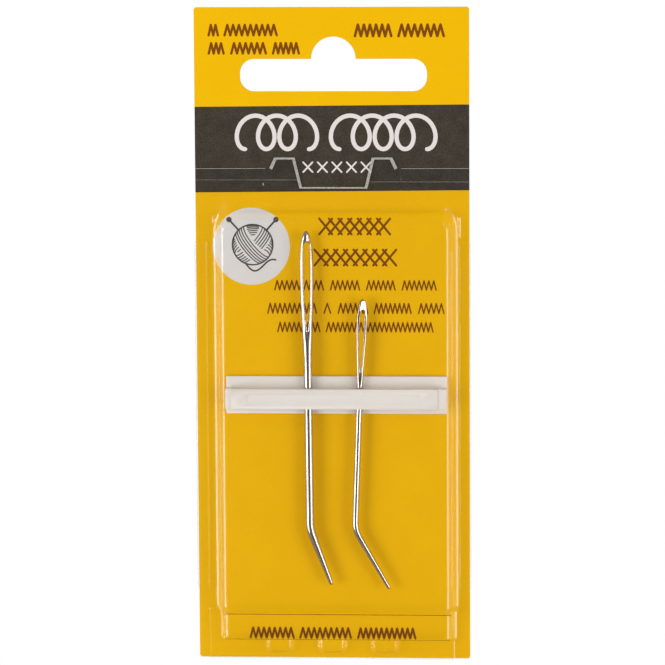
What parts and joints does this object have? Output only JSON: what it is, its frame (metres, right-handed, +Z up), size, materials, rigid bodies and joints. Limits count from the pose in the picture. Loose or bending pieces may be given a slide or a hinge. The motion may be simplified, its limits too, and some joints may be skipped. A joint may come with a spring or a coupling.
{
  "type": "carded yarn needle pack",
  "caption": "Hanging card with a clear slide-off blister cover, in which a white holder grips blunt yarn needles with long eyes and bent tips.",
  "frame": {"origin": "crown of the hang slot's arch, in the middle of the card's thickness, where a display peg carries the pack", "axes": "+Z up along the card's length, +X to the right seen from the printed front, and the front faces -Y"},
  "size_m": [0.0511, 0.0047, 0.1206],
  "materials": {
    "card": "printed paperboard, satin varnish",
    "clear_film": "clear thermoformed film",
    "holder": "moulded, satin white",
    "needle_steel": "polished nickel plate"
  },
  "bodies": {
    "card": {"backing_card": "card"},
    "cover": {"slide_cover": "clear_film", "needle_holder": "holder"},
    "large_needle": {"large_needle": "needle_steel"},
    "small_needle": {"small_needle": "needle_steel"}
  },
  "joints": [
    {"name": "cover_slide", "type": "slide", "parent": "card", "child": "cover", "axis": [0, 0, -1], "range_m": [0, 0.075]},
    {"name": "large_needle_slide", "type": "slide", "parent": "cover", "child": "large_needle", "axis": [-0.007, 0, 1], "range_m": [-0.005, 0.002]},
    {"name": "small_needle_slide", "type": "slide", "parent": "cover", "child": "small_needle", "axis": [0.0366, 0, 0.9993], "range_m": [-0.0043, 0.0143]}
  ]
}
